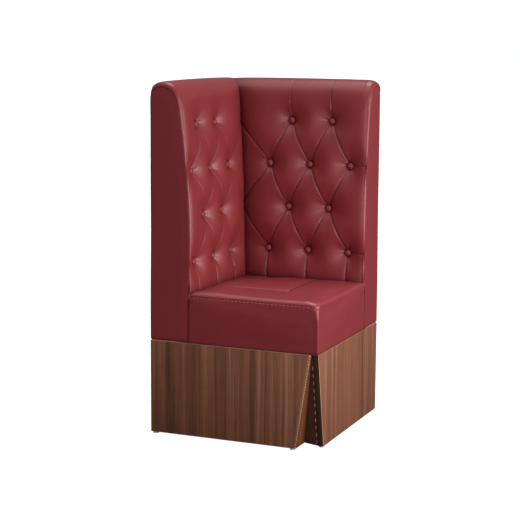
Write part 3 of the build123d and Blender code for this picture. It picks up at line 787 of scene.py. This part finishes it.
def closed_pad(piece, order, rows, columns):
    """Closes the pad's back and ends, with its faces smooth and its rim sharp."""
    rim = np.zeros((rows, columns + 3), bool)
    rim[[0, -1]] = True
    rim[:, 0] = True
    rim[:, columns - 1:] = True
    rim = rim.ravel()[order]
    shell = bmesh.new()
    shell.from_mesh(piece.data)
    for edge in shell.edges:
        edge.smooth = not all(rim[vert.index] for vert in edge.verts)
    bmesh.ops.remove_doubles(shell, verts=shell.verts, dist=1e-7)
    bmesh.ops.holes_fill(shell, edges=[edge for edge in shell.edges if edge.is_boundary])
    bmesh.ops.recalc_face_normals(shell, faces=shell.faces)
    for face in shell.faces:
        face.smooth = True
    shell.to_mesh(piece.data)
    shell.free()


def wing_pad(name, top_folds, firm, crown, long_roll, valley, valley_width, valley_foot,
             painted_shade_width):
    """The left wing's pad, as rows up its line and columns along the wing, closed behind."""

    def mitre_at(up):
        return 2 * SIDE - np.interp(up, pad_length, pad_run[:, 0])

    def shaped(along, up, sink):
        """Places of a grid of points: along is the distance from the free end, below 0 on the end
        roll, where -1 is the seam, and up is the way along the pad's line."""
        u, z = read_off(up, pad_length, pad_run)
        nu, nz = read_off(up, pad_length, pad_out)
        su, sz = read_off(np.interp(up, pad_knots_at, seam_knots_at), seam_length, seam_run)
        deep = np.hypot(su - u, sz - z) + 1e-6
        radius = np.minimum(0.010 + 0.003 * step(z, 0.97, 1.08), 0.92 * deep)
        midway = np.sin(pi * np.clip(along / mitre_at(up), 0, 1))
        z = z + crown * step(z, 1.03, 1.09) * midway ** 0.7
        way = np.clip(-along, 0, 1)
        turn = np.clip(way / 0.6, 0, 1) * pi / 2
        flat = (deep - radius) * np.clip((way - 0.6) / 0.4, 0, 1)
        inward = (radius * (1 - np.cos(turn)) + flat) / deep
        face = np.cos(turn)
        ends = radius * (1 + long_roll * step(z, 1.02, 1.09))
        far = 2 * SIDE - (u - nu * sink)[:, -1:]
        u = u + (su - u) * inward - nu * face * sink
        z = z + (sz - z) * inward - nz * face * sink
        last = mitre_at(up)
        dip = 0.0022 * step(way, 0.86, 1.0) - 0.0006 * step(way, 0.45, 0.7)
        start, stop = [ends * fading(np.clip(place, 0, None), 0.025) for place in (along, last)]
        y = np.where(along < 0, ends * (1 - np.sin(turn)) + dip,
                     along + start + (far - last - stop) * step(along, last - 0.068, last))
        y = y + np.sin(turn) * sink * 0.5
        return soft_corner(np.stack([u - SIDE, y - SIDE, z], -1))

    def depths(along, up):
        """How far the leather is drawn in, and how much painted shade it gets."""
        along = np.where(along < 0, along * 0.018, along)
        hollows, hollow_folds, narrow, crease = [np.zeros(along.shape) for kind in range(4)]
        for number, (bx, by) in enumerate(tufts()):
            far = np.hypot(along - bx, up - by)
            angle = np.arctan2(up - by, along - bx)
            pulls = np.cos(5 * angle + number * 1.9) + 0.7 * np.cos(8 * angle + number * 4.1)
            rim = np.clip(far - 0.007, 0, None)
            sink = 0.0100 * fading(rim, 0.013) + 0.0205 * np.exp(-(rim / 0.042) ** 1.45)
            sink -= 0.0011 * pulls * fading(rim, 0.018) * (rim > 0)
            hollows += sink ** 3
            # Painted shade in the hollow round each button.
            crease = np.maximum(crease, 0.95 * fading(np.clip(far - 0.011, 0, None), 0.0040))
        over = 1 - 0.85 * step(up, up_to(1.00), up_to(1.00) + 0.09)
        for ends, hollow in folds(top_folds):
            far, share, near_x, near_y = line_distance(along, up, ends)
            from_middle = 2 * np.abs(share - 0.5)
            deep = hollow + (0.006 - hollow) * from_middle ** 4
            hollow_folds = np.maximum(hollow_folds, over * deep * fading(far, 0.016))
            crisp = firm + (1 - firm) * from_middle ** 1.5
            lip = 0.0006 * bell(far - 0.0045, 0.0025) * (along > near_x)
            narrow = np.maximum(narrow, 0.0020 * crisp * over * bell(far, 0.0023))
            narrow = narrow - lip * crisp * over
            # Painted shade along each fold.
            crease = np.maximum(crease, 0.85 * crisp * bell(far, 0.0018))
        falling = 0.0045 * fading(np.clip(along, 0, None), 0.016)
        falling *= 1 - step(up, up_to(1.00), up_to(1.05) + 0.06)
        edge = mitre_at(up) - along
        mitre = 0.0025 * fading(edge, 0.006) + valley * np.exp(-(edge / valley_width) ** 1.6)
        mitre *= 1 - 0.9 * step(up, up_to(1.02), up_to(1.02) + 0.07)
        mitre *= valley_foot + (1 - valley_foot) * step(up, up_to(0.45), up_to(0.70))
        # Painted shade in the valley beside the mitre, as wide as painted_shade_width.
        crease = np.maximum(crease, 0.95 * np.exp(-(edge / painted_shade_width) ** 1.3))
        above_seat = np.clip(up - up_to(0.459), 0, None)
        # Painted shade on the pad's foot just above the seat.
        crease = np.maximum(crease, 0.85 * fading(above_seat, 0.016))
        sink = (hollows + hollow_folds ** 3) ** (1 / 3) + narrow + mitre + falling
        tucked = step(up, up_to(0.432), up_to(0.450))
        tucked *= 1 - step(up, pad_length[-1] - 0.02, pad_length[-1])
        return sink * tucked, crease

    def grid(rows, columns):
        roll = columns // 16
        share = np.concatenate([np.linspace(-1, 0, roll, endpoint=False),
                                np.linspace(0, 1, columns - roll)])
        share, up = np.meshgrid(share, np.linspace(0, pad_length[-1], rows))
        return np.where(share < 0, share, share * mitre_at(up)), up

    def swelling():
        """How far a coarse sheet, held at the buttons and its borders, swells outward as cloth."""
        along, up = grid(168, 96)
        start = shaped(along, up, depths(along, up)[0])
        trial, order = sheet(name + "_trial", start)
        held = up < up_to(0.455)
        held[0], held[-1], held[:, 0], held[:, -1] = True, True, True, True
        for bx, by in tufts():
            held[np.hypot(along - bx, up - by) < 0.012] = True
        move = np.zeros((start.size // 3, 3))
        move[order] = swell(trial, held.ravel()[order])
        bpy.data.objects.remove(trial)
        move = move.reshape(start.shape)
        nu, nz = read_off(up, pad_length, pad_out)
        return (move[..., 0] * nu + move[..., 2] * nz) * step(along, -0.5, 0.01)

    rows, columns = 345, 233
    swollen = made_finer(swelling(), rows, columns)
    along, up = grid(rows, columns)
    for ends, hollow in folds(top_folds):
        far, share, near_x, near_y = line_distance(along, up, ends)
        snap = (far < 0.0013) & (along > 0)
        snap[:, -1] = False
        along = np.where(snap, near_x, along)
        up = np.where(snap, near_y, up)
    sink, crease = depths(along, up)
    front = shaped(along, up, sink - swollen)
    # Two more columns, 36 mm behind the mitre and the end, and the first once more.
    u, z = read_off(up[:, -1], pad_length, pad_run - 0.036 * pad_out)
    behind = [np.stack([u - SIDE, y, z], -1)[:, None]
              for y in (SIDE - u, np.full(u.shape, 0.003 - SIDE))]
    piece, order = sheet(name, np.concatenate([front, *behind, front[:, :1]], 1))
    set_painted_shade(piece, np.hstack([crease, np.zeros((rows, 3))]).ravel()[order])
    closed_pad(piece, order, rows, columns)
    return piece


def mirrored_to_rear(piece):
    """Turns a left wing piece into the rear wing's, mirrored across the plan's diagonal."""
    places = points_of(piece.data)
    move_points(piece.data, np.stack([-places[:, 1], -places[:, 0], places[:, 2]], 1))
    piece.data.flip_normals()


# What differs between the two pads: whether folds run over the top, how crisp the folds are midway,
# how far the top swells, how much longer than high the end roll is at the top, and the valley at
# the mitre, with its depth, width, share at the foot and the reach of the painted shade beside it.
PADS = {"left": {"top_folds": False, "firm": 0.35, "crown": 0.0024, "long_roll": 0.0,
                 "valley": 0.0055, "valley_width": 0.026, "valley_foot": 0.0,
                 "painted_shade_width": 0.0078},
        "rear": {"top_folds": True, "firm": 1.0, "crown": 0.0012, "long_roll": 1.1,
                 "valley": 0.0220, "valley_width": 0.038, "valley_foot": 1.0,
                 "painted_shade_width": 0.0279}}

for wing, own_form in PADS.items():
    pad = wing_pad(f"{wing}_wing_pad", **own_form)
    if wing == "rear":
        mirrored_to_rear(pad)
    pad.data.materials.append(leather.material)
    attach(pad, "booth")
    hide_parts(f"{wing}_wing_pad_cover", f"{wing}_wing_foam")


# Buttons: steel shells covered in the same leather, a little duller from handling. Their twine
# draws them 18 mm below the pad, 27 mm below its crest line at their backs.

BUTTON_DEPTH = 0.0270


def wing_buttons(name):
    """The left wing's buttons, each spun from a profile of radii and heights."""
    shell = bmesh.new()
    profile = [(0.0, 0.0092), (0.0030, 0.0090), (0.0060, 0.0081), (0.0086, 0.0064),
               (0.0102, 0.0042), (0.0108, 0.0020), (0.0104, 0.0002), (0.0085, -0.0010),
               (0.0, -0.0012)]
    for along, up in tufts():
        u, z = [float(value) for value in read_off(up, pad_length, pad_run)]
        nu, nz = [float(value) for value in read_off(up, pad_length, pad_out)]
        seat = Matrix.Translation((u - BUTTON_DEPTH * nu - SIDE, along - SIDE,
                                   z - BUTTON_DEPTH * nz))
        seat @= Vector((nu, 0, nz)).to_track_quat("Z", "Y").to_matrix().to_4x4()
        verts = [shell.verts.new((radius, 0, height)) for radius, height in profile]
        edges = [shell.edges.new(pair) for pair in zip(verts, verts[1:])]
        bmesh.ops.spin(shell, geom=verts + edges, cent=(0, 0, 0), axis=(0, 0, 1),
                       angle=2 * pi, steps=28, use_merge=True)
        own = [vert for vert in shell.verts if not vert.tag]
        bmesh.ops.transform(shell, matrix=seat, verts=own)
        for vert in own:
            vert.tag = True
    bmesh.ops.remove_doubles(shell, verts=shell.verts, dist=1e-6)
    bmesh.ops.recalc_face_normals(shell, faces=shell.faces)
    return new_piece(name, shell)


button_leather = leather_finish("button_leather", 0.15)
for wing in ("left", "rear"):
    buttons = wing_buttons(f"{wing}_wing_leather_buttons")
    buttons.data.shade_smooth()
    if wing == "rear":
        mirrored_to_rear(buttons)
    buttons.data.materials.append(button_leather.material)
    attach(buttons, "booth")
    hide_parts(f"{wing}_wing_buttons")


# End covers: flat leather over the end board of each wing, sewn to the pad's rolled edge, drawn
# round the wing's outer corner and tucked under the outer cover.

def cover_sheet(name, places, crease):
    """A closed piece of leather, 2 mm thick, from a grid of points, with how much painted shade
    each point gets.
    """
    piece, order = sheet(name, places)
    set_painted_shade(piece, crease.ravel()[order])
    shell = bmesh.new()
    shell.from_mesh(piece.data)
    bmesh.ops.solidify(shell, geom=shell.faces[:], thickness=0.002)
    bmesh.ops.recalc_face_normals(shell, faces=shell.faces)
    shell.to_mesh(piece.data)
    shell.free()
    piece.data.shade_smooth()
    piece.data.set_sharp_from_angle(angle=radians(50))
    return piece


def end_cover(name):
    apex = int(np.argmax(seam_run[:, 1]))
    inner, outer = seam_run[:apex + 1], seam_run[apex:][::-1]
    # The columns go from the inner seam's side at 1 to the outer corner at 0, and below 0 by
    # their metres round it. The rows are closer together near the top.
    round_corner = -np.linspace(0.0125, 0.0, 8, endpoint=False)
    columns = np.concatenate([round_corner, (1 - np.cos(np.linspace(0, pi, 44))) / 2])
    rows = np.concatenate([np.linspace(LEATHER_FOOT, 1.04, 120, endpoint=False),
                           np.linspace(1.04, inner[-1, 1] - 0.0001, 60)])
    share, z = np.meshgrid(columns, rows)
    share, beyond = np.clip(share, 0, None), np.clip(-share, 0, None)
    right = np.interp(z, inner[:, 1], inner[:, 0]) - 0.0004
    left = np.where(z < 1.0588, 0.0, np.interp(z, outer[:, 1], outer[:, 0] + 0.0004))
    left = left - 0.0008 * step(z, 0.96, 1.02) * (1 - step(z, 1.0570, 1.0640))
    u = left + share * (right - left) + 0.0003 * step(beyond, 0.007, 0.0115)
    line = seam_run[::4]
    away = np.min(np.hypot(u[..., None] - line[:, 0], z[..., None] - line[:, 1]), -1)
    puff = 0.0012 * step(away, 0.0, 0.0035) + 0.0010 * step(away, 0.003, 0.030)
    at_corner = (1 - step(u, 0.004, 0.014)) * (1 - step(z, 1.0580, 1.0600))
    puff = np.maximum(puff, 0.0021 * at_corner)
    foot = np.clip(0.004 - (z - LEATHER_FOOT), 0, None)
    turned_under = 0.004 - np.sqrt(np.clip(0.004 ** 2 - foot ** 2, 0, None))
    y = 0.0020 - puff + turned_under + beyond
    # Painted shade: a dark line along the seam to the pad's roll and another at the cover's foot
    # above the plinth.
    crease = np.maximum(0.7 * bell(away, 0.0012), 0.9 * fading(z - LEATHER_FOOT, 0.003))
    return cover_sheet(name, soft_corner(np.stack([u - SIDE, y - SIDE, z], -1)), crease)


for wing in ("left", "rear"):
    cover = end_cover(f"{wing}_wing_end_leather")
    if wing == "rear":
        mirrored_to_rear(cover)
    cover.data.materials.append(leather.material)
    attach(cover, "booth")
    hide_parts(f"{wing}_wing_end_cover")


# Outer covers: flat leather over the thin outer panels, tacked under at the foot and sewn to the
# pad along the top. It puffs a little between its edges.

def outer_cover(name):
    low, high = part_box("left_wing_outer_cover")
    y, z = np.meshgrid(np.linspace(OUTER_CORNER - SIDE, high.y, 90),
                       np.linspace(low.z, high.z, 120))
    near = np.minimum(np.minimum(z - low.z, high.z - z), np.minimum(y - low.y, high.y - y))
    side = 0.0016 * (1 - step(near, 0.0, 0.0030)) - 0.0006 * step(near, 0.004, 0.060)
    by_corner = (y < OUTER_CORNER - SIDE + 0.02) & (z - low.z >= 0.004)
    side = np.where(by_corner, 0.0002, side)
    # Painted shade: a faint dark line along the seam at the top.
    crease = 0.5 * bell(high.z - z, 0.0014)
    return cover_sheet(name, np.stack([side + drawn_in(z) - SIDE, y, z], -1), crease)


for wing in ("left", "rear"):
    cover = outer_cover(f"{wing}_wing_outer_leather")
    if wing == "rear":
        mirrored_to_rear(cover)
    cover.data.materials.append(leather.material)
    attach(cover, "booth")
    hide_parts(f"{wing}_wing_outer_cover")


# Studio: a plain pale floor and plain soft light: a wide softbox near at the right, a small one in
# front, two wide lights from above and a faint glow. The camera stands where the photo was taken.

def studio_floor():
    """A floor of pale paper, which the camera sees as an even white."""
    shell = bmesh.new()
    bmesh.ops.create_grid(shell, x_segments=40, y_segments=40, size=60.0)
    floor = new_piece("studio_floor", shell)
    paper = Finish("pale_paper", Specular_IOR_Level=0.1, Roughness=0.9, Emission_Strength=1.0)
    grain = paper.place.noise(300, 3)
    pale = grain.mixed((0.28, 0.28, 0.28), (0.32, 0.32, 0.32))
    seen = grain.node("LightPath", {}, {}, "Is Camera Ray")
    paper.feed(Base_Color=seen.mixed((0.05, 0.05, 0.05), pale),
               Emission_Color=seen.mixed((0.0, 0.0, 0.0), (0.95, 0.95, 0.95)))
    floor.data.materials.append(paper.material)


studio_floor()


def light_at(name, light, toward):
    """A light in the scene, turned to shine from the direction given."""
    lamp = bpy.data.objects.new(name, light)
    lamp.rotation_euler = Vector(toward).to_track_quat("Z", "Y").to_euler()
    bpy.context.scene.collection.objects.link(lamp)
    return lamp


def softbox(name, place, width, height, power):
    """A near panel of light, in metres and watts, that faces the booth's middle."""
    light = bpy.data.lights.new(name, "AREA")
    light.shape = "RECTANGLE"
    light.size, light.size_y, light.energy = width, height, power
    light_at(name, light, Vector(place) - Vector((0, 0, 0.6))).location = place


def soft_sun(name, toward, width, strength):
    """An even light from far off, with the direction to it and how wide it looks in degrees."""
    light = bpy.data.lights.new(name, "SUN")
    light.energy, light.angle = strength, radians(width)
    light_at(name, light, toward)


softbox("light_right", (2.3, -0.35, 0.75), 2.2, 1.2, 62)
softbox("light_front", (1.4, -2.2, 1.0), 1.2, 1.2, 16)
soft_sun("light_above", (-0.10, -0.30, 1.0), 50, 1.1)
soft_sun("light_behind", (0.0, 0.22, 0.97), 24, 1.8)

GLOW_SEEN, GLOW_CAST = 1.0, 0.26
world = bpy.data.worlds.new("studio")
world.use_nodes = True
seen = Wire(world.node_tree).node("LightPath", {}, {}, "Is Camera Ray")
glow = world.node_tree.nodes["Background"]
glow.inputs["Color"].default_value = (1, 1, 1, 1)
strength = seen * (GLOW_SEEN - GLOW_CAST) + GLOW_CAST
world.node_tree.links.new(strength.socket, glow.inputs["Strength"])
bpy.context.scene.world = world
bpy.context.scene.view_settings.view_transform = "Standard"

# The camera's place, and how it is turned, tilted down and rolled, in degrees.
eye = Vector((1.75020, -4.22479, 1.24952))
turn, tilt, roll = radians(22.813), radians(8.916), radians(0.352)
back = Vector((sin(turn) * cos(tilt), -cos(turn) * cos(tilt), sin(tilt)))
level = Vector((cos(turn), sin(turn), 0))
rise = back.cross(level)
right = cos(roll) * level + sin(roll) * rise
lift = cos(roll) * rise - sin(roll) * level
camera = bpy.data.objects.new("camera", bpy.data.cameras.new("camera"))
camera.data.sensor_width = 36
camera.data.lens = 99.70
camera.matrix_world = Matrix.Translation(eye) @ Matrix((right, lift, back)).transposed().to_4x4()
bpy.context.scene.collection.objects.link(camera)
bpy.context.scene.camera = camera
